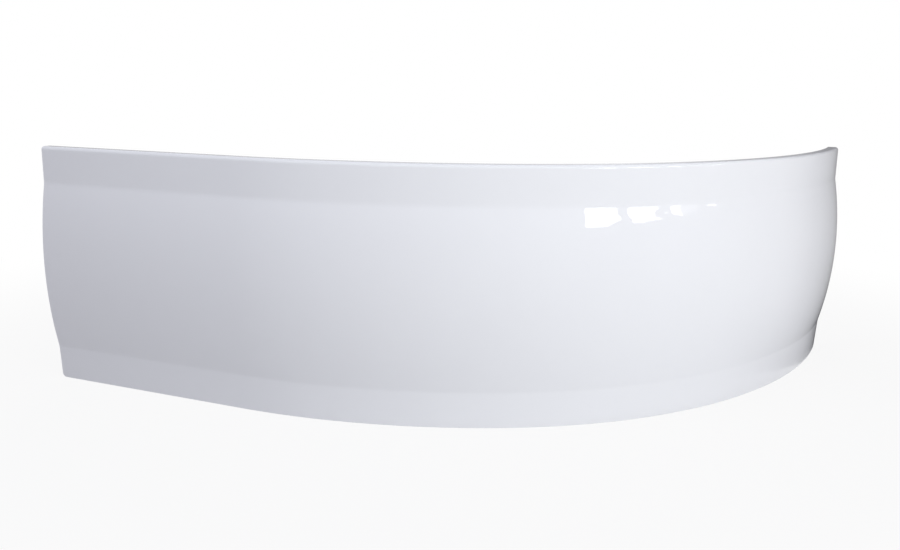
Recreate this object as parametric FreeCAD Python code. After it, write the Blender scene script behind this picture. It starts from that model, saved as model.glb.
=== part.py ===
"""Front panel of an asymmetric corner bath: one moulded acrylic sheet that curves from wall to wall.

Seen from above, the panel leaves the left wall as a straight run, bends through three tangent arcs
and ends on the back wall. Its section, the same all along, has a turned-in rim, an upright top band,
a bowed belly between two soft creases and a set-back plinth that stands on the floor.
Millimetres, +Z up, +X along the straight run, the front facing -Y and +X.
"""
import FreeCAD, Part
from math import acos, cos, degrees, radians, sin, sqrt, tan
import os

from FreeCAD import Vector

# Plan of the top band's outer face, from the left wall round to the back wall
straight_run = 526.0
easing_radius = 1280.0
easing_turn = 26.0
nose_radius = 1030.0
nose_turn = 33.0
closing_radius = 1245.0
wall_distance = 1100.0

# Section of the sheet, measured up from the floor and inward from the top band's outer face
sheet = 5.0
panel_height = 560.0
band_height = 85.0
rim_width = 26.0
rim_radius = 8.0
belly_rise = 22.0
plinth_height = 80.0
plinth_setback = 8.0
plinth_lean = 3.5
upper_crease_radius = 60.0
lower_crease_radius = 40.0

# Rounding of the two lower corners, where the trimmed ends meet the floor edge
corner_radius = 10.0

UP = Vector(0, 0, 1)
# Degrees that the sheet is formed past the back wall, before it is trimmed flush
OVERRUN = 3.0


def section_point(outward, height):
    """A point of the section where it starts, on the left wall."""
    return Vector(0, -outward, height)


def line(start, end):
    """A straight edge."""
    return Part.LineSegment(start, end).toShape()


def arc(start, middle, end):
    """A round edge through three points."""
    return Part.Arc(start, middle, end).toShape()


def arc_about(centre, start, end):
    """The shorter round edge from start to end about a centre."""
    radius = (start - centre).Length
    middle = centre + ((start + end) / 2 - centre).normalize() * radius
    return arc(start, middle, end)


def crease_centre(foot, direction, outward, belly_centre, belly_radius, crease_radius, side):
    """Centre of the round that is tangent to a straight flank and to the belly, outside both.

    side is 1 where the flank lies above the belly and -1 where it lies below.
    """
    base = foot + outward * crease_radius - belly_centre
    along = base.dot(direction)
    spare = (belly_radius + crease_radius) ** 2 - base.Length ** 2 + along ** 2
    return belly_centre + base + direction * (side * sqrt(spare) - along)


def sheet_face(inset):
    """Edges of one face of the sheet, from the floor up and over the rim, inset from the outer face."""
    lean = radians(plinth_lean)
    outward = section_point(1, 0)
    plinth_up = section_point(sin(lean), cos(lean))
    plinth_out = section_point(cos(lean), -sin(lean))
    upper_corner = section_point(0, panel_height - band_height)
    lower_corner = section_point(-plinth_setback, plinth_height)

    chord = upper_corner - lower_corner
    belly_radius = (chord.Length ** 2 / 4 + belly_rise ** 2) / (2 * belly_rise)
    across = Vector(0, -chord.z, chord.y).normalize()
    belly_centre = (upper_corner + lower_corner) / 2 + across * (belly_rise - belly_radius)
    upper_centre = crease_centre(
        upper_corner, UP, outward, belly_centre, belly_radius, upper_crease_radius, 1
    )
    lower_centre = crease_centre(
        lower_corner, plinth_up, plinth_out, belly_centre, belly_radius, lower_crease_radius, -1
    )
    rim_centre = section_point(-rim_radius, panel_height - rim_radius)

    foot_setback = plinth_setback + plinth_height * tan(lean) + inset / cos(lean)
    foot = section_point(-foot_setback, 0)
    plinth_top = lower_centre - plinth_out * (lower_crease_radius + inset)
    to_lower = (lower_centre - belly_centre).normalize()
    to_upper = (upper_centre - belly_centre).normalize()
    belly_foot = belly_centre + to_lower * (belly_radius - inset)
    crown = belly_centre + across * (belly_radius - inset)
    belly_head = belly_centre + to_upper * (belly_radius - inset)
    band_foot = upper_centre - outward * (upper_crease_radius + inset)
    band_head = rim_centre + outward * (rim_radius - inset)
    rim_start = rim_centre + UP * (rim_radius - inset)
    rim_end = section_point(-rim_width, panel_height - inset)
    return [
        line(foot, plinth_top),
        arc_about(lower_centre, plinth_top, belly_foot),
        arc(belly_foot, crown, belly_head),
        arc_about(upper_centre, belly_head, band_foot),
        line(band_foot, band_head),
        arc_about(rim_centre, band_head, rim_start),
        line(rim_start, rim_end),
    ]


def sheet_section():
    """The sheet's whole section, between its two faces, on the left wall."""
    outer = sheet_face(0)
    inner = sheet_face(sheet)
    floor_edge = line(outer[0].firstVertex().Point, inner[0].firstVertex().Point)
    rim_edge = line(outer[-1].lastVertex().Point, inner[-1].lastVertex().Point)
    return Part.Face(Part.Wire(Part.__sortEdges__([*outer, rim_edge, *inner, floor_edge])))


def closing_turn():
    """Degrees of the closing arc, from the end of the nose to the back wall."""
    easing = radians(easing_turn)
    nose = radians(easing_turn + nose_turn)
    nose_end = easing_radius * (1 - cos(easing)) + nose_radius * (cos(easing) - cos(nose))
    heading = acos(cos(nose) - (wall_distance - nose_end) / closing_radius)
    return degrees(heading - nose)


def formed_sheet(section):
    """The section carried along the plan: one straight run and three tangent bends."""
    run = Vector(straight_run, 0, 0)
    lengths = [section.extrude(run)]
    station = section.translated(run)
    foot = run
    turned = 0.0
    bends = (
        (easing_radius, easing_turn),
        (nose_radius, nose_turn),
        (closing_radius, closing_turn() + OVERRUN),
    )
    for radius, turn in bends:
        inward = Vector(-sin(radians(turned)), cos(radians(turned)), 0)
        centre = foot + inward * radius
        lengths.append(station.revolve(centre, UP, turn))
        station = station.rotated(centre, UP, turn)
        turned += turn
        foot = centre + Vector(sin(radians(turned)), -cos(radians(turned)), 0) * radius
    return lengths[0].multiFuse(lengths[1:]).removeSplitter()


def corner_offcut(length):
    """What is trimmed off outside a lower corner on the left wall, as long as given along Y."""
    start = Vector(0, -length / 2, 0)
    block = Part.makeBox(corner_radius, length, corner_radius, start)
    middle = start + Vector(corner_radius, 0, corner_radius)
    return block.cut(Part.makeCylinder(corner_radius, length, middle, Vector(0, 1, 0)))


def trimmed(formed):
    """The formed sheet cut flush with the back wall, with its lower corners rounded."""
    reach = formed.BoundBox.DiagonalLength
    span = 2 * reach
    beyond_wall = Part.makeBox(span, reach, span, Vector(-reach, wall_distance, -reach))
    left_offcut = corner_offcut(span)
    right_offcut = left_offcut.rotated(Vector(), UP, -90)
    right_offcut.translate(Vector(0, wall_distance, 0))
    panel = formed
    for offcut in (beyond_wall, left_offcut, right_offcut):
        panel = panel.cut(offcut)
    return panel.removeSplitter().Solids[0]


def bath_panel():
    """The finished panel, standing on the floor with the middle of its box over the origin."""
    panel = trimmed(formed_sheet(sheet_section()))
    box = panel.optimalBoundingBox(False)
    return panel.translated(Vector(-box.Center.x, -box.Center.y, -box.ZMin))


os.makedirs("parts", exist_ok=True)
bath_panel().exportStep("parts/bath_panel.step")
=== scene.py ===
"""Looks of a front panel for an asymmetric corner bath, in metres.

The panel is one white acrylic sheet. Its front is moulded to a high gloss, its back is the plain satin
side of the sheet, and its ends, foot and rim are trimmed by a saw. A row of tall window panes on the
right lights it and shows in the gloss, and softboxes light its front, top and back. A painted reflection,
a grey glow on a board behind it and a foot by its right end that only the gloss shows, darkens what the
gloss mirrors, and the floor and the room around it are plain white.
"""

import logging
from dataclasses import dataclass, replace
from enum import Enum
from math import acos, atan2, cos, pi, radians, remainder, sin, sqrt, tan, tau

import bpy
from mathutils import Matrix, Vector, noise


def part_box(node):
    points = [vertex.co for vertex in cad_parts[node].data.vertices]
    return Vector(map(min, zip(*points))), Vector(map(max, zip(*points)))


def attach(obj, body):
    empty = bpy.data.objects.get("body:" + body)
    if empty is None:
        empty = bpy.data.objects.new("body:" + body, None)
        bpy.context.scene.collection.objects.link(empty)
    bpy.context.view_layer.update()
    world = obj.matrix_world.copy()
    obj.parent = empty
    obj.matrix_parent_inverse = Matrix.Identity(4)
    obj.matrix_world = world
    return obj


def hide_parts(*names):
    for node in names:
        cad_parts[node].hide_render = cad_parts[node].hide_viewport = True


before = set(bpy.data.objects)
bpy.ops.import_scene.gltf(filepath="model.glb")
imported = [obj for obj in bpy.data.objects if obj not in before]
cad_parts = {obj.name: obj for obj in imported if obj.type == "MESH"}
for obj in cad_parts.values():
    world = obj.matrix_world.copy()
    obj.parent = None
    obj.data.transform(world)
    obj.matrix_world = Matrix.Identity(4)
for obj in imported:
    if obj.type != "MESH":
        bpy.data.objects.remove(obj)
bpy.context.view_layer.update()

LOG = logging.getLogger("bath_panel")
Colour = tuple[float, float, float]


class SheetSide(Enum):
    """The parts of the sheet's surface, each with the number of its material slot."""

    FRONT = 0
    BACK = 1
    CUT_EDGE = 2


@dataclass(frozen=True)
class Cloud:
    """An uneven pattern, by which a finish varies.

    Attributes:
        size: Size of its patches.
        detail: How many finer patterns lie on it.
    """

    size: float
    detail: float


def map_range(
    tree: bpy.types.NodeTree, value: bpy.types.NodeSocket, ends: tuple[float, float, float, float]
) -> bpy.types.Node:
    """Adds a node that maps one range of values to another.

    Args:
        tree: The tree to add it to.
        value: The value to map.
        ends: The first and the last value of the range, and what each is mapped to.

    Returns:
        The node.
    """
    node = tree.nodes.new("ShaderNodeMapRange")
    for name, end in zip(("From Min", "From Max", "To Min", "To Max"), ends):
        node.inputs[name].default_value = end
    tree.links.new(value, node.inputs["Value"])
    return node


class FinishNodes:
    """A new material and short calls that add nodes to it."""

    def __init__(self, name: str) -> None:
        """Starts from a bare glossy shader and the sheet's own coordinates.

        Args:
            name: The material's name.
        """
        self.material = bpy.data.materials.new(name)
        self.material.use_nodes = True
        self.tree = self.material.node_tree
        self.shader = self.tree.nodes["Principled BSDF"]
        self.place = self.add("ShaderNodeTexCoord").outputs["Object"]

    def add(self, kind: str) -> bpy.types.Node:
        """Adds a node of the type that Blender knows by this name."""
        return self.tree.nodes.new(kind)

    def link(self, source: bpy.types.NodeSocket, target: bpy.types.NodeSocket) -> None:
        """Links an output to an input."""
        self.tree.links.new(source, target)

    def pattern(self, cloud: Cloud) -> bpy.types.NodeSocket:
        """Adds an uneven pattern.

        Args:
            cloud: Its size and detail.

        Returns:
            The pattern's value, about 0.5 on average.
        """
        texture = self.add("ShaderNodeTexNoise")
        texture.inputs["Scale"].default_value = 1.0 / cloud.size
        texture.inputs["Detail"].default_value = cloud.detail
        self.link(self.place, texture.inputs["Vector"])
        return texture.outputs["Fac"]

    def colour(self, cloud: Cloud, first: Colour, second: Colour) -> None:
        """Colours the surface unevenly.

        Args:
            cloud: The pattern that it follows.
            first: Colour where the pattern is low.
            second: Colour where the pattern is high.
        """
        blend = self.add("ShaderNodeValToRGB")
        for stop, shade in zip(blend.color_ramp.elements, (first, second)):
            stop.color = (*shade, 1.0)
        self.link(self.pattern(cloud), blend.inputs["Fac"])
        self.link(blend.outputs["Color"], self.shader.inputs["Base Color"])

    def roughness(self, cloud: Cloud, smooth: float, rough: float) -> None:
        """Makes the surface unevenly rough.

        Args:
            cloud: The pattern that it follows.
            smooth: Roughness where the pattern is low.
            rough: Roughness where the pattern is high.
        """
        spread = map_range(self.tree, self.pattern(cloud), (0.0, 1.0, smooth, rough))
        self.link(spread.outputs["Result"], self.shader.inputs["Roughness"])

    def relief(self, cloud: Cloud, depth: float) -> None:
        """Raises the surface unevenly.

        Args:
            cloud: The pattern that it follows.
            depth: How far the surface rises where the pattern is high.
        """
        bump = self.add("ShaderNodeBump")
        bump.inputs["Strength"].default_value = 1.0
        bump.inputs["Distance"].default_value = depth
        self.link(self.pattern(cloud), bump.inputs["Height"])
        self.link(bump.outputs["Normal"], self.shader.inputs["Normal"])


@dataclass(frozen=True)
class AcrylicFinish:
    """One surface of the acrylic sheet, uneven in colour, sheen and relief.

    Attributes:
        name: The material's name.
        pale: Colour of its lighter patches.
        deep: Colour of its deeper patches.
        tone: Pattern of these patches.
        smooth: Its least roughness.
        rough: Its greatest roughness.
        sheen: Pattern of the smoother and rougher patches.
        depth: Depth of its fine relief.
        grain: Pattern of that relief.
        refraction: Index of refraction of acrylic.
    """

    name: str
    pale: Colour
    deep: Colour
    tone: Cloud
    smooth: float
    rough: float
    sheen: Cloud
    depth: float
    grain: Cloud
    refraction: float = 1.49

    def material(self) -> bpy.types.Material:
        """Makes the material.

        Returns:
            The finish as a material.
        """
        nodes = FinishNodes(self.name)
        nodes.shader.inputs["IOR"].default_value = self.refraction
        nodes.colour(self.tone, self.pale, self.deep)
        nodes.roughness(self.sheen, self.smooth, self.rough)
        nodes.relief(self.grain, self.depth)
        return nodes.material


@dataclass(frozen=True)
class GlossAcrylic(AcrylicFinish):
    """Cast acrylic off a polished mould: cool white and glossy, with a trace of cloud and orange peel."""

    name: str = "gloss_acrylic"
    pale: Colour = (0.86, 0.87, 0.892)
    deep: Colour = (0.84, 0.85, 0.874)
    tone: Cloud = Cloud(size=0.25, detail=3.0)
    smooth: float = 0.008
    rough: float = 0.025
    sheen: Cloud = Cloud(size=0.09, detail=4.0)
    depth: float = 1.5e-6
    grain: Cloud = Cloud(size=0.006, detail=1.0)


@dataclass(frozen=True)
class SatinAcrylic(AcrylicFinish):
    """The side of the sheet that never met the mould: satin, with a fine grain."""

    name: str = "satin_acrylic"
    pale: Colour = (0.83, 0.835, 0.845)
    deep: Colour = (0.79, 0.795, 0.81)
    tone: Cloud = Cloud(size=0.12, detail=4.0)
    smooth: float = 0.34
    rough: float = 0.5
    sheen: Cloud = Cloud(size=0.03, detail=3.0)
    depth: float = 4.0e-5
    grain: Cloud = Cloud(size=0.0035, detail=2.0)


@dataclass(frozen=True)
class SawnAcrylic(AcrylicFinish):
    """An edge as the trimming saw left it: dull, with fine marks."""

    name: str = "sawn_acrylic"
    pale: Colour = (0.84, 0.845, 0.855)
    deep: Colour = (0.76, 0.765, 0.78)
    tone: Cloud = Cloud(size=0.0015, detail=2.0)
    smooth: float = 0.45
    rough: float = 0.7
    sheen: Cloud = Cloud(size=0.0015, detail=2.0)
    depth: float = 6.0e-5
    grain: Cloud = Cloud(size=0.0015, detail=2.0)


def straight_points(start: Vector, end: Vector, steps: int) -> list[Vector]:
    """Divides a straight stretch.

    Args:
        start: Its first point, which is left out.
        end: Its last point.
        steps: How many parts it gets.

    Returns:
        The points after the first.
    """
    return [start.lerp(end, step / steps) for step in range(1, steps + 1)]


def round_points(centre: Vector, start: Vector, end: Vector, steps: int) -> list[Vector]:
    """Divides the shorter arc about a centre.

    Args:
        centre: The arc's centre.
        start: Its first point, which is left out.
        end: Its last point.
        steps: How many parts it gets.

    Returns:
        The points after the first.
    """
    first, last = start - centre, end - centre
    heading = atan2(first.y, first.x)
    turn = remainder(atan2(last.y, last.x) - heading, tau)
    headings = [heading + turn * step / steps for step in range(1, steps + 1)]
    return [centre + first.length * Vector((cos(angle), sin(angle))) for angle in headings]


@dataclass(frozen=True)
class SectionRows:
    """How many rows of faces each part of the section gets.

    Attributes:
        corner: Beside the rounded lower corners.
        plinth: From there to the lower crease.
        crease: Round each crease.
        belly: Round the belly.
        band: Up the top band.
        rim_round: Round the top edge.
        rim: Across the rim.
    """

    corner: int = 6
    plinth: int = 5
    crease: int = 6
    belly: int = 36
    band: int = 6
    rim_round: int = 10
    rim: int = 3


@dataclass(frozen=True)
class SheetSection:
    """Section of the moulded sheet: points outward from the top band's face and up from the floor.

    Attributes:
        height: Height of the whole panel.
        sheet: Thickness of the sheet.
        band_height: Height of the upright top band, with the rim.
        rim_width: How far the rim turns in.
        rim_radius: Rounding between the band and the rim.
        belly_rise: How far the belly bows out from its chord.
        plinth_height: Height of the set-back plinth.
        plinth_setback: How far its top lies behind the band.
        plinth_lean: How far it leans, in radians.
        upper_crease_radius: Rounding between the band and the belly.
        lower_crease_radius: Rounding between the belly and the plinth.
        corner_radius: Rounding of the lower corners at the ends.
        rows: Rows of faces on each of its parts.
    """

    height: float
    sheet: float = 0.005
    band_height: float = 0.085
    rim_width: float = 0.026
    rim_radius: float = 0.008
    belly_rise: float = 0.022
    plinth_height: float = 0.080
    plinth_setback: float = 0.008
    plinth_lean: float = radians(3.5)
    upper_crease_radius: float = 0.060
    lower_crease_radius: float = 0.040
    corner_radius: float = 0.010
    rows: SectionRows = SectionRows()

    @property
    def upper_corner(self) -> Vector:
        """Where the band and the belly's chord would meet if the crease were sharp."""
        return Vector((0.0, self.height - self.band_height))

    @property
    def lower_corner(self) -> Vector:
        """Where the belly's chord and the plinth would meet if the crease were sharp."""
        return Vector((-self.plinth_setback, self.plinth_height))

    @property
    def belly_radius(self) -> float:
        """Radius of the belly's outer face."""
        half = (self.upper_corner - self.lower_corner).length / 2
        return (half**2 + self.belly_rise**2) / (2 * self.belly_rise)

    @property
    def belly_centre(self) -> Vector:
        """Centre of the belly's arc.

        Returns:
            The centre, behind the panel.
        """
        chord = (self.upper_corner - self.lower_corner).normalized()
        across = Vector((chord.y, -chord.x))
        middle = (self.upper_corner + self.lower_corner) / 2
        return middle + across * (self.belly_rise - self.belly_radius)

    @property
    def crown_reach(self) -> float:
        """How far the belly stands out in front of the band."""
        return self.belly_centre.x + self.belly_radius

    def crease_centre(self, foot: Vector, up: Vector, radius: float, side: int) -> Vector:
        """Finds the centre of a crease, which touches a straight flank and the belly from outside.

        Args:
            foot: A point of the flank.
            up: The flank's direction, upwards.
            radius: Radius of the crease.
            side: 1 where the flank lies above the belly, and -1 where it lies below.

        Returns:
            The centre.
        """
        outward = Vector((up.y, -up.x))
        base = foot + outward * radius - self.belly_centre
        along = base.dot(up)
        spare = (self.belly_radius + radius) ** 2 - base.length_squared + along**2
        return self.belly_centre + base + up * (side * sqrt(spare) - along)

    def corner_heights(self) -> list[float]:
        """Heights of the rows that round the lower corners, evenly spaced along the round."""
        steps = self.rows.corner
        return [self.corner_radius * (1 - cos(pi / 2 * step / steps)) for step in range(steps + 1)]

    def face(self, inset: float) -> list[Vector]:
        """Lays out one face of the sheet, from the floor up and over the rim.

        Args:
            inset: How far the face lies inside the outer one.

        Returns:
            The face's points, as many for every inset.
        """
        lean_up = Vector((sin(self.plinth_lean), cos(self.plinth_lean)))
        lean_out = Vector((lean_up.y, -lean_up.x))
        out, up = Vector((1.0, 0.0)), Vector((0.0, 1.0))
        upper = self.crease_centre(self.upper_corner, up, self.upper_crease_radius, 1)
        lower = self.crease_centre(self.lower_corner, lean_up, self.lower_crease_radius, -1)
        rim = Vector((-self.rim_radius, self.height - self.rim_radius))
        reach = self.belly_radius - inset
        setback = self.plinth_setback + self.plinth_height * tan(self.plinth_lean)

        foot = Vector((-setback - inset / cos(self.plinth_lean), 0.0))
        plinth_top = lower - lean_out * (self.lower_crease_radius + inset)
        belly_foot = self.belly_centre + (lower - self.belly_centre).normalized() * reach
        belly_head = self.belly_centre + (upper - self.belly_centre).normalized() * reach
        band_foot = upper - out * (self.upper_crease_radius + inset)
        band_head = rim + out * (self.rim_radius - inset)
        rim_start = rim + up * (self.rim_radius - inset)
        rim_end = Vector((-self.rim_width, self.height - inset))

        rows = self.rows
        points = [foot.lerp(plinth_top, height / plinth_top.y) for height in self.corner_heights()]
        points += straight_points(points[-1], plinth_top, rows.plinth)
        points += round_points(lower, plinth_top, belly_foot, rows.crease)
        points += round_points(self.belly_centre, belly_foot, belly_head, rows.belly)
        points += round_points(upper, belly_head, band_foot, rows.crease)
        points += straight_points(band_foot, band_head, rows.band)
        points += round_points(rim, band_head, rim_start, rows.rim_round)
        points += straight_points(rim_start, rim_end, rows.rim)
        return points

    def corner_recess(self, height: float) -> float:
        """How far the rounded lower corner lies inside the trimmed end at a height."""
        short = max(self.corner_radius - height, 0.0)
        return self.corner_radius - sqrt(self.corner_radius**2 - short**2)


@dataclass(frozen=True)
class Bend:
    """One arc of the plan.

    Attributes:
        centre: The arc's centre.
        radius: Radius of the top band's outer face.
        first: Heading at its start, in radians from the straight run.
        last: Heading at its end.
    """

    centre: Vector
    radius: float
    first: float
    last: float

    def headings(self, steps: int) -> list[float]:
        """Headings that divide the arc evenly, without its first."""
        return [self.first + (self.last - self.first) * step / steps for step in range(1, steps + 1)]

    def spot(self, heading: float, outward: float) -> Vector:
        """The point at a heading, outward from the band's face."""
        return self.centre + (self.radius + outward) * Vector((sin(heading), -cos(heading)))


@dataclass(frozen=True)
class PanelPlan:
    """Plan of the top band's outer face: a straight run and three tangent arcs, from wall to wall.

    Attributes:
        start: Where the face leaves the left wall.
        back_wall: Y of the back wall, where the closing arc ends.
        straight_run: Length of the straight run.
        easing_radius: Radius of the first arc.
        easing_turn: Turn of the first arc, in radians.
        nose_radius: Radius of the second arc.
        nose_turn: Turn of the second arc, in radians.
        closing_radius: Radius of the third arc.
        spacing: Distance between two stations.
    """

    start: Vector
    back_wall: float
    straight_run: float = 0.526
    easing_radius: float = 1.280
    easing_turn: float = radians(26.0)
    nose_radius: float = 1.030
    nose_turn: float = radians(33.0)
    closing_radius: float = 1.245
    spacing: float = 0.0115

    @property
    def bends(self) -> list[Bend]:
        """The three arcs of the plan.

        Returns:
            The arcs in order, the last one up to the back wall.
        """
        found: list[Bend] = []
        spot, heading = self.start + Vector((self.straight_run, 0.0)), 0.0
        for radius, turn in ((self.easing_radius, self.easing_turn), (self.nose_radius, self.nose_turn)):
            centre = spot + radius * Vector((-sin(heading), cos(heading)))
            found.append(Bend(centre, radius, heading, heading + turn))
            heading += turn
            spot = found[-1].spot(heading, 0.0)
        centre = spot + self.closing_radius * Vector((-sin(heading), cos(heading)))
        last = acos((centre.y - self.back_wall) / self.closing_radius)
        return [*found, Bend(centre, self.closing_radius, heading, last)]

    def lengths(self) -> list[float]:
        """Lengths of the straight run and of the three arcs."""
        return [self.straight_run, *(bend.radius * (bend.last - bend.first) for bend in self.bends)]

    def station_places(self) -> list[float]:
        """Divides the plan evenly.

        Returns:
            Distances of the stations from the left wall, along the band's face.
        """
        places = [0.0]
        for length in self.lengths():
            steps = round(length / self.spacing)
            places += [places[-1] + length * step / steps for step in range(1, steps + 1)]
        return places

    def row(self, outward: float, recess: float) -> list[tuple[Vector, Vector]]:
        """Lays out one row of the sheet, from the left wall to the back wall.

        Args:
            outward: How far the row lies in front of the band's face.
            recess: How far it stops short of both walls.

        Returns:
            A point and the outward direction for each station.
        """
        out = Vector((0.0, -1.0))
        begin = self.start + Vector((recess, -outward))
        bend_foot = self.start + Vector((self.straight_run, -outward))
        easing, nose, closing = self.bends
        drop = closing.centre.y - self.back_wall + recess
        closing = replace(closing, last=acos(drop / (closing.radius + outward)))
        counts = [round(length / self.spacing) for length in self.lengths()]
        stations = [(begin, out)]
        stations += [(point, out) for point in straight_points(begin, bend_foot, counts[0])]
        for bend, count in zip((easing, nose, closing), counts[1:]):
            for heading in bend.headings(count):
                stations.append((bend.spot(heading, outward), Vector((sin(heading), -cos(heading)))))
        return stations


@dataclass(frozen=True)
class Ripple:
    """The slight unevenness of a big thermoformed sheet, which makes reflected lines swim.

    Attributes:
        depth: The most that the sheet lies behind its true curve.
        length: Size of the shallow waves.
        margin: How far from the sheet's edges the waves fade out.
        layer: Which layer of the noise they are cut from.
    """

    depth: float = 0.00035
    length: float = 0.16
    margin: float = 0.07
    layer: float = 0.5

    def at(self, along: float, height: float, length: float, top: float) -> float:
        """Works out how far the sheet lies behind its true curve.

        Args:
            along: Distance from the left wall.
            height: Height above the floor.
            length: Length of the panel from wall to wall.
            top: Height of the panel.

        Returns:
            The distance in metres, never negative.
        """
        wave = noise.noise(Vector((along / self.length, height / self.length, self.layer)))
        nearest = max(min(height, top - height, along, length - along), 0.0)
        fade = min(nearest / self.margin, 1.0)
        return self.depth * fade * fade * (3 - 2 * fade) * (0.5 + 0.5 * wave)


@dataclass(frozen=True)
class BathPanel:
    """The moulded panel: its front, its back and its trimmed edges as one closed sheet.

    Attributes:
        plan: Its line from wall to wall.
        section: Its section, the same all along.
        ripple: The unevenness of the sheet.
        edge_round: How far the trimmed edges are eased.
        edge_steps: Rows of faces round an eased edge.
        edge_angle: The least angle of an edge that is eased, in radians.
        node: Name of the solid that it stands for.
    """

    plan: PanelPlan
    section: SheetSection
    ripple: Ripple = Ripple()
    edge_round: float = 0.0007
    edge_steps: int = 3
    edge_angle: float = radians(50.0)
    node: str = "bath_panel"

    @classmethod
    def in_frame(cls, node: str) -> "BathPanel":
        """Fits the panel to its solid.

        Args:
            node: The solid's name.

        Returns:
            A panel as high and wide as the solid, and in its place.
        """
        low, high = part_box(node)
        section = SheetSection(height=high.z - low.z)
        start = Vector((low.x, low.y + section.crown_reach))
        return cls(PanelPlan(start=start, back_wall=high.y), section, node=node)

    def face_points(self, inset: float) -> list[list[Vector]]:
        """Places the points of one face of the sheet.

        Args:
            inset: How far the face lies inside the outer one.

        Returns:
            Rows of points from the floor up, each from the left wall to the back wall.
        """
        rows = []
        places = self.plan.station_places()
        for spot in self.section.face(inset):
            stations = self.plan.row(spot.x, self.section.corner_recess(spot.y))
            row = []
            for along, (point, out) in zip(places, stations):
                flat = point - out * self.ripple.at(along, spot.y, places[-1], self.section.height)
                row.append(Vector((flat.x, flat.y, spot.y)))
            rows.append(row)
        return rows

    def faces(self, rows: int, stations: int) -> list[tuple[tuple[int, ...], SheetSide]]:
        """Joins the points into one closed skin.

        Args:
            rows: Rows of each face, the front's from the floor up and then the back's from the rim down.
            stations: Points of each row.

        Returns:
            The corners of each four-sided face and the part of the surface that it belongs to.
        """
        ring = 2 * rows
        sides = [SheetSide.FRONT] * (rows - 1) + [SheetSide.CUT_EDGE]
        sides += [SheetSide.BACK] * (rows - 1) + [SheetSide.CUT_EDGE]
        skin = []
        for row, side in enumerate(sides):
            here, above = row * stations, (row + 1) % ring * stations
            for station in range(stations - 1):
                corners = (here + station, here + station + 1, above + station + 1, above + station)
                skin.append((corners, side))
        for row in range(rows - 1):
            front, back = row * stations, (ring - 1 - row) * stations
            left = (front, front + stations, back - stations, back)
            right = tuple(corner + stations - 1 for corner in reversed(left))
            skin += [(left, SheetSide.CUT_EDGE), (right, SheetSide.CUT_EDGE)]
        return skin

    def build(self) -> bpy.types.Object:
        """Makes the sheet's mesh and puts it on its body in place of the plain solid.

        Returns:
            The panel's object, not yet dressed.
        """
        front, back = self.face_points(0.0), self.face_points(self.section.sheet)
        points = [point for row in [*front, *reversed(back)] for point in row]
        skin = self.faces(len(front), len(front[0]))
        mesh = bpy.data.meshes.new(self.node + "_sheet")
        mesh.from_pydata(points, [], [corners for corners, _ in skin])
        mesh.polygons.foreach_set("material_index", [side.value for _, side in skin])
        mesh.polygons.foreach_set("use_smooth", [True] * len(skin))
        panel = bpy.data.objects.new(self.node + "_sheet", mesh)
        bpy.context.scene.collection.objects.link(panel)
        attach(panel, "root")
        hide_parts(self.node)
        return panel

    def dress(self, panel: bpy.types.Object) -> None:
        """Gives the sheet its finishes and eases its trimmed edges.

        Args:
            panel: The panel's object.
        """
        for finish in (GlossAcrylic(), SatinAcrylic(), SawnAcrylic()):
            panel.data.materials.append(finish.material())
        ease = panel.modifiers.new("eased_edges", "BEVEL")
        ease.width = self.edge_round
        ease.segments = self.edge_steps
        ease.limit_method = "ANGLE"
        ease.angle_limit = self.edge_angle
        panel.modifiers.new("even_shading", "WEIGHTED_NORMAL").keep_sharp = True


def bare_material(name: str) -> bpy.types.Material:
    """Starts a material that has no nodes yet.

    Args:
        name: The material's name.

    Returns:
        The material.
    """
    material = bpy.data.materials.new(name)
    material.use_nodes = True
    material.node_tree.nodes.clear()
    return material


def flat_piece(
    name: str, corners: list[Vector], faces: list[tuple[int, ...]], material: bpy.types.Material
) -> bpy.types.Object:
    """Adds a piece of the stage that is made of flat faces.

    Args:
        name: Its name.
        corners: Its corners.
        faces: The corners' numbers, for each face.
        material: Its material.

    Returns:
        The piece's object.
    """
    mesh = bpy.data.meshes.new(name)
    mesh.from_pydata(corners, [], faces)
    mesh.materials.append(material)
    piece = bpy.data.objects.new(name, mesh)
    bpy.context.scene.collection.objects.link(piece)
    return piece


def worked_out(
    tree: bpy.types.NodeTree, operation: str, first: bpy.types.NodeSocket, second: bpy.types.NodeSocket
) -> bpy.types.NodeSocket:
    """Adds a node that works out a value from two others.

    Args:
        tree: The tree to add it to.
        operation: Blender's name of the operation.
        first: The first value.
        second: The second value.

    Returns:
        The result.
    """
    node = tree.nodes.new("ShaderNodeMath")
    node.operation = operation
    tree.links.new(first, node.inputs[0])
    tree.links.new(second, node.inputs[1])
    return node.outputs["Value"]


def seen_rays(tree: bpy.types.NodeTree) -> bpy.types.NodeSocket:
    """Adds nodes that tell the rays that show the surroundings from those that are only lit by them.

    Args:
        tree: The tree to add them to.

    Returns:
        A value of 1 for camera, glossy and transmission rays, and 0 for others.
    """
    path = tree.nodes.new("ShaderNodeLightPath").outputs
    shown = worked_out(tree, "MAXIMUM", path["Is Camera Ray"], path["Is Glossy Ray"])
    return worked_out(tree, "MAXIMUM", shown, path["Is Transmission Ray"])


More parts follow.
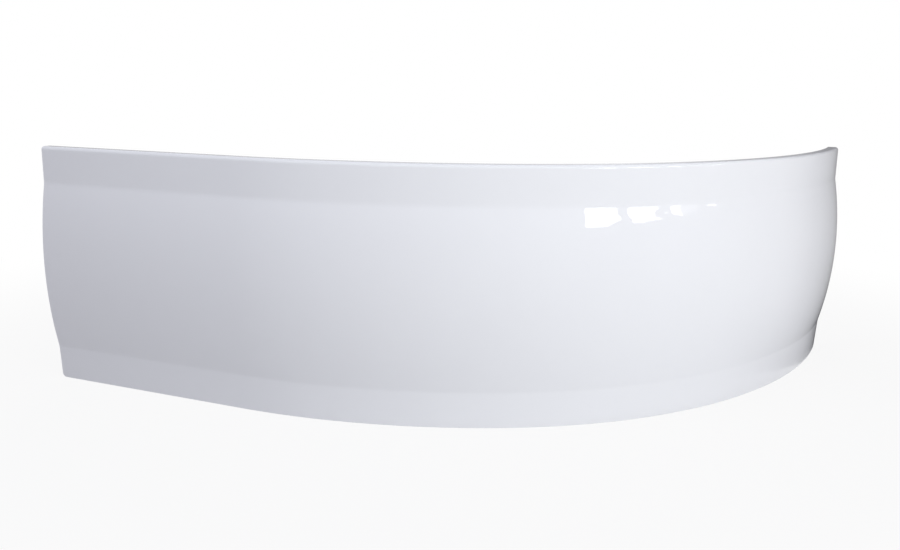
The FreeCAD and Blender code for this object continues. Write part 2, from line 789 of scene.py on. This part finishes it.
@dataclass(frozen=True)
class WhiteRoom:
    """The plain white surroundings, which fill the shadows with cool soft light.

    Attributes:
        fill: Colour and strength of the light that they cast.
    """

    fill: Colour = (0.255, 0.24, 0.28)

    def build(self) -> None:
        """Sets up the world: white to look at and to mirror, and dimmer as a lamp."""
        world = bpy.data.worlds.new("white_room")
        world.use_nodes = True
        bpy.context.scene.world = world
        nodes, links = world.node_tree.nodes, world.node_tree.links
        nodes.clear()
        seen = seen_rays(world.node_tree)
        shown = nodes.new("ShaderNodeBackground")
        shown.inputs["Color"].default_value = (1.0, 1.0, 1.0, 1.0)
        cast = nodes.new("ShaderNodeBackground")
        cast.inputs["Color"].default_value = (*self.fill, 1.0)
        choice = nodes.new("ShaderNodeMixShader")
        output = nodes.new("ShaderNodeOutputWorld")
        links.new(seen, choice.inputs["Fac"])
        links.new(cast.outputs["Background"], choice.inputs[1])
        links.new(shown.outputs["Background"], choice.inputs[2])
        links.new(choice.outputs["Shader"], output.inputs["Surface"])


@dataclass(frozen=True)
class StudioFloor:
    """The pale floor, which keeps the panel's shadow and turns plain white away from it.

    Attributes:
        size: Length of its sides.
        colour: Its own colour.
        near: Share of white that it shows beside the panel.
        near_reach: Distance from the middle up to which it shows that share.
        far_reach: Distance from which it shows plain white.
    """

    size: float = 40.0
    colour: Colour = (0.62, 0.62, 0.63)
    near: float = 0.9
    near_reach: float = 0.9
    far_reach: float = 2.2

    def material(self) -> bpy.types.Material:
        """Makes the floor's material.

        Returns:
            A dull pale surface that blends into white.
        """
        material = bare_material("studio_floor")
        material.cycles.emission_sampling = "NONE"
        tree = material.node_tree
        place = tree.nodes.new("ShaderNodeTexCoord")
        distance = tree.nodes.new("ShaderNodeVectorMath")
        distance.operation = "LENGTH"
        tree.links.new(place.outputs["Object"], distance.inputs[0])
        reaches = (self.near_reach, self.far_reach, self.near, 1.0)
        fade = map_range(tree, distance.outputs["Value"], reaches)
        fade.interpolation_type = "SMOOTHSTEP"
        share = worked_out(tree, "MULTIPLY", fade.outputs["Result"], seen_rays(tree))
        dull = tree.nodes.new("ShaderNodeBsdfDiffuse")
        dull.inputs["Color"].default_value = (*self.colour, 1.0)
        white = tree.nodes.new("ShaderNodeEmission")
        mix = tree.nodes.new("ShaderNodeMixShader")
        output = tree.nodes.new("ShaderNodeOutputMaterial")
        tree.links.new(share, mix.inputs["Fac"])
        tree.links.new(dull.outputs["BSDF"], mix.inputs[1])
        tree.links.new(white.outputs["Emission"], mix.inputs[2])
        tree.links.new(mix.outputs["Shader"], output.inputs["Surface"])
        return material

    def build(self) -> bpy.types.Object:
        """Lays the floor under the panel.

        Returns:
            The floor's object.
        """
        signs = ((-1, -1), (1, -1), (1, 1), (-1, 1))
        corners = [Vector((x, y, 0.0)) * self.size / 2 for x, y in signs]
        floor = flat_piece("studio_floor", corners, [(0, 1, 2, 3)], self.material())
        return floor


@dataclass(frozen=True)
class WindowPane:
    """One bright pane, as far as curtains and what stands on the sill leave it free.

    Attributes:
        name: Its name.
        outline: Its free corners, as distances along the wall and heights.
        glow: Its brightness, where 1 is a white surface in full light.
    """

    name: str
    outline: tuple[tuple[float, float], ...]
    glow: float

    def material(self, tint: Colour) -> bpy.types.Material:
        """Makes the pane's material.

        Args:
            tint: Colour of the daylight.

        Returns:
            A plain glow.
        """
        material = bare_material(self.name)
        tree = material.node_tree
        light = tree.nodes.new("ShaderNodeEmission")
        light.inputs["Color"].default_value = (*tint, 1.0)
        light.inputs["Strength"].default_value = self.glow
        output = tree.nodes.new("ShaderNodeOutputMaterial")
        tree.links.new(light.outputs["Emission"], output.inputs["Surface"])
        return material


@dataclass(frozen=True)
class WindowRow:
    """Tall window panes in a row on one wall: light from the right, and the bright marks in the gloss.

    Attributes:
        facing: Direction from the panel's nose to the wall, in degrees to the right of the front.
        distance: Distance of the wall from the nose.
        nose: The point of the floor under the panel's nose.
        tint: Colour of the daylight.
        panes: The panes from left to right.
    """

    facing: float = 75.0
    distance: float = 3.0
    nose: Vector = Vector((0.45, -0.27, 0.0))
    tint: Colour = (0.98, 0.99, 1.0)
    panes: tuple[WindowPane, ...] = (
        WindowPane(
            name="first_pane",
            outline=(
                (-1.15, 1.15),
                (-1.075, 1.14),
                (-1.1, 0.87),
                (-0.7, 0.836),
                (-0.52, 0.9),
                (-0.41, 0.925),
                (-0.42, 0.985),
                (-0.455, 1),
                (-0.475, 1.05),
                (-0.46, 1.7),
                (-0.8, 1.7),
                (-0.87, 1.2),
            ),
            glow=11.1,
        ),
        WindowPane(
            name="second_pane",
            outline=(
                (-0.28, 1),
                (-0.255, 0.955),
                (-0.205, 0.9),
                (-0.205, 0.845),
                (0, 0.822),
                (0.025, 0.82),
                (0.04, 0.84),
                (0.375, 0.838),
                (0.225, 0.895),
                (0.23, 0.97),
                (0.3, 0.99),
                (0.295, 1.02),
                (0.19, 1.15),
                (0.25, 1.7),
                (-0.285, 1.7),
            ),
            glow=11.1,
        ),
        WindowPane(
            name="bright_gap",
            outline=((0.425, 0.931), (0.49, 0.926), (0.491, 0.94), (0.426, 0.945)),
            glow=12.0,
        ),
        WindowPane(
            name="third_pane",
            outline=(
                (0.55, 0.965),
                (0.585, 0.885),
                (0.73, 0.858),
                (0.785, 0.83),
                (0.75, 0.92),
                (0.735, 0.95),
                (0.74, 1.25),
                (0.8, 1.7),
                (0.6, 1.7),
                (0.51, 1.28),
            ),
            glow=11.1,
        ),
        WindowPane(
            name="shaded_pane",
            outline=((0.735, 0.97), (0.75, 0.92), (0.785, 0.83), (1.11, 0.87), (1.125, 0.97)),
            glow=2.2,
        ),
        WindowPane(
            name="far_pane",
            outline=(
                (1.35, 0.902),
                (1.47, 0.888),
                (1.56, 0.876),
                (1.565, 0.95),
                (1.68, 1.05),
                (1.74, 1.3),
                (1.4, 1.3),
            ),
            glow=11.1,
        ),
    )

    def spot(self, along: float, height: float) -> Vector:
        """Finds a point of the wall.

        Args:
            along: Its distance along the wall.
            height: Its height.

        Returns:
            The point.
        """
        azimuth = radians(self.facing)
        away = Vector((sin(azimuth), -cos(azimuth), 0.0))
        beside = Vector((cos(azimuth), sin(azimuth), 0.0))
        return self.nose + away * self.distance + beside * along + Vector((0.0, 0.0, height))

    def build(self) -> list[bpy.types.Object]:
        """Sets up the panes, which light the panel and show in its gloss but not to the camera.

        Returns:
            The panes' objects.
        """
        objects = []
        for pane in self.panes:
            corners = [self.spot(along, height) for along, height in pane.outline]
            face = tuple(range(len(corners)))
            window = flat_piece(pane.name, corners, [face], pane.material(self.tint))
            window.visible_camera = False
            objects.append(window)
        return objects


@dataclass(frozen=True)
class SoftLamp:
    """A square softbox that faces the panel and doesn't show in its gloss.

    Attributes:
        name: Its name.
        turn: Degrees that it stands to the right of the front.
        rise: Degrees that it stands above the floor.
        glow: Brightness of its face, where 1 is a white surface in full light.
        tint: Colour of its light.
        size: Length of its sides.
        distance: Distance from the spot that it faces.
        aim: The spot that it faces.
    """

    name: str
    turn: float
    rise: float
    glow: float
    tint: Colour
    size: float = 1.4
    distance: float = 2.6
    aim: Vector = Vector((0.2, -0.25, 0.3))

    def build(self) -> bpy.types.Object:
        """Hangs the lamp.

        Returns:
            The lamp's object.
        """
        turn, rise = radians(self.turn), radians(self.rise)
        away = Vector((sin(turn) * cos(rise), -cos(turn) * cos(rise), sin(rise)))
        light = bpy.data.lights.new(self.name, "AREA")
        light.size = self.size
        light.energy = self.glow * pi * self.size**2
        light.color = self.tint
        lamp = bpy.data.objects.new(self.name, light)
        lamp.rotation_mode = "QUATERNION"
        lamp.rotation_quaternion = away.to_track_quat("Z", "Y")
        lamp.location = self.aim + away * self.distance
        lamp.visible_camera = False
        lamp.visible_glossy = False
        bpy.context.scene.collection.objects.link(lamp)
        return lamp


@dataclass(frozen=True)
class PaintedReflection:
    """A painted reflection seen in the gloss only: a grey glow on a board behind the panel and a foot by
    its right end.

    Attributes:
        left: X of the foot's left edge, under the panel's end.
        foot: Y of the front edge of the foot, where the painted shade fades to white.
        board: Y of the upright board, just behind the panel.
        height: Height of the board.
        lift: Height of the foot, and of the board's lower edge, over the floor.
        painted_shade: Share of white that the painted reflection takes away at each X, from the board's
            left edge to its right.
        deepening: How much more painted shade it gives at the floor.
        deep_height: Height up to which it gives more painted shade.
    """

    left: float = 0.80
    foot: float = -0.05
    board: float = 0.585
    height: float = 0.9
    lift: float = 0.003
    painted_shade: tuple[tuple[float, float], ...] = (
        (-2.4, 0.64),
        (-0.1, 0.34),
        (0.25, 0.15),
        (0.38, 0.32),
        (0.58, 0.55),
        (0.74, 0.60),
        (0.83, 0.80),
        (0.88, 0.58),
        (1.31, 0.0),
    )
    deepening: float = 1.25
    deep_height: float = 0.3

    def material(self) -> bpy.types.Material:
        """Makes the material of the painted reflection.

        Returns:
            A grey glow that paints darker reflections and turns white to the right and to the front.
        """
        material = bare_material("painted_reflection_glow")
        material.cycles.emission_sampling = "NONE"
        tree = material.node_tree
        place = tree.nodes.new("ShaderNodeTexCoord")
        axes = tree.nodes.new("ShaderNodeSeparateXYZ")
        tree.links.new(place.outputs["Object"], axes.inputs["Vector"])
        first, last = self.painted_shade[0][0], self.painted_shade[-1][0]
        across = map_range(tree, axes.outputs["X"], (first, last, 0.0, 1.0))
        inward = map_range(tree, axes.outputs["Y"], (self.foot, self.board, 0.0, 1.0))
        upward = map_range(tree, axes.outputs["Z"], (0.0, self.deep_height, self.deepening, 1.0))
        shades = tree.nodes.new("ShaderNodeValToRGB")
        stops = shades.color_ramp.elements
        for x, _ in self.painted_shade[1:-1]:
            stops.new((x - first) / (last - first))
        for stop, (_, share) in zip(stops, self.painted_shade):
            stop.color = (share, share, share, 1.0)
        tree.links.new(across.outputs["Result"], shades.inputs["Fac"])
        deeper = worked_out(tree, "MULTIPLY", shades.outputs["Color"], upward.outputs["Result"])
        tree.links.new(deeper, inward.inputs["To Max"])
        rest = tree.nodes.new("ShaderNodeMath")
        rest.operation = "SUBTRACT"
        rest.inputs[0].default_value = 1.0
        tree.links.new(inward.outputs["Result"], rest.inputs[1])
        # Painted reflection: a glow that is dimmer where more shade is painted, standing in for darker
        # mirrored surroundings.
        glow = tree.nodes.new("ShaderNodeEmission")
        output = tree.nodes.new("ShaderNodeOutputMaterial")
        tree.links.new(rest.outputs["Value"], glow.inputs["Strength"])
        tree.links.new(glow.outputs["Emission"], output.inputs["Surface"])
        return material

    def build(self) -> bpy.types.Object:
        """Stands up the board and the foot that carry the painted reflection.

        Returns:
            Their object.
        """
        first, last = self.painted_shade[0][0], self.painted_shade[-1][0]
        foot = [Vector((self.left, y, self.lift)) for y in (self.foot, self.board)]
        foot += [Vector((last, y, self.lift)) for y in (self.board, self.foot)]
        board = [Vector((first, self.board, z)) for z in (self.lift, self.height)]
        board += [Vector((last, self.board, z)) for z in (self.height, self.lift)]
        faces = [(0, 1, 2, 3), (4, 5, 6, 7)]
        gloss_shade_board = flat_piece("painted_reflection_board", foot + board, faces, self.material())
        # Painted reflection: only the gloss shows it; it is no lamp and casts no shadow.
        gloss_shade_board.visible_camera = False
        gloss_shade_board.visible_diffuse = False
        gloss_shade_board.visible_shadow = False
        return gloss_shade_board


@dataclass(frozen=True)
class Viewpoint:
    """The camera's place and lens.

    Attributes:
        place: Its place.
        heading: Degrees that it looks to the left of the straight run's normal.
        pitch: Degrees that it looks down.
        roll: Degrees that it is turned about its own axis.
        lens: Focal length in millimetres.
        sensor: Width of the sensor in millimetres.
    """

    place: Vector = Vector((0.8389, -2.1399, 0.7279))
    heading: float = 22.688
    pitch: float = 12.13
    roll: float = 0.833
    lens: float = 36.715
    sensor: float = 36.0

    def build(self) -> bpy.types.Object:
        """Sets up the camera.

        Returns:
            The camera's object.
        """
        data = bpy.data.cameras.new("viewpoint")
        data.sensor_fit = "HORIZONTAL"
        data.sensor_width = self.sensor
        data.lens = self.lens
        camera = bpy.data.objects.new("viewpoint", data)
        turn = Matrix.Rotation(radians(self.heading), 4, "Z")
        tip = Matrix.Rotation(radians(90.0 - self.pitch), 4, "X")
        roll = Matrix.Rotation(radians(self.roll), 4, "Z")
        camera.matrix_world = Matrix.Translation(self.place) @ turn @ tip @ roll
        bpy.context.scene.collection.objects.link(camera)
        bpy.context.scene.camera = camera
        return camera


def main() -> None:
    """Builds the panel, then the floor, the light and the camera."""
    logging.basicConfig(level=logging.INFO, format="%(name)s: %(message)s")
    panel = BathPanel.in_frame("bath_panel")
    sheet = panel.build()
    panel.dress(sheet)
    LOG.info("%s: %d faces", sheet.name, len(sheet.data.polygons))
    WhiteRoom().build()
    floor = StudioFloor().build()
    LOG.info("%s: %.0f m wide", floor.name, floor.dimensions.x)
    lamps = (
        SoftLamp("front_softbox", turn=45.0, rise=8.0, glow=3.3, tint=(0.97, 1.0, 0.955)),
        SoftLamp("high_softbox", turn=-30.0, rise=60.0, glow=4.35, tint=(0.9, 0.94, 1.0)),
        SoftLamp("rear_softbox", turn=215.0, rise=8.0, glow=4.0, tint=(1.0, 1.0, 1.0)),
    )
    for lamp in lamps:
        LOG.info("%s: %.1f W", lamp.name, lamp.build().data.energy)
    for pane in WindowRow().build():
        LOG.info("%s: %.2f m high", pane.name, pane.dimensions.z)
    # Painted reflection: a grey glow that darkens what the gloss mirrors at the right end and the rim.
    gloss_shade_board = PaintedReflection().build()
    LOG.info("%s: %.2f m high", gloss_shade_board.name, gloss_shade_board.dimensions.z)
    camera = Viewpoint().build()
    LOG.info("%s: %.1f mm", camera.name, camera.data.lens)
    bpy.context.scene.view_settings.view_transform = "Standard"


if __name__ == "__main__":
    main()
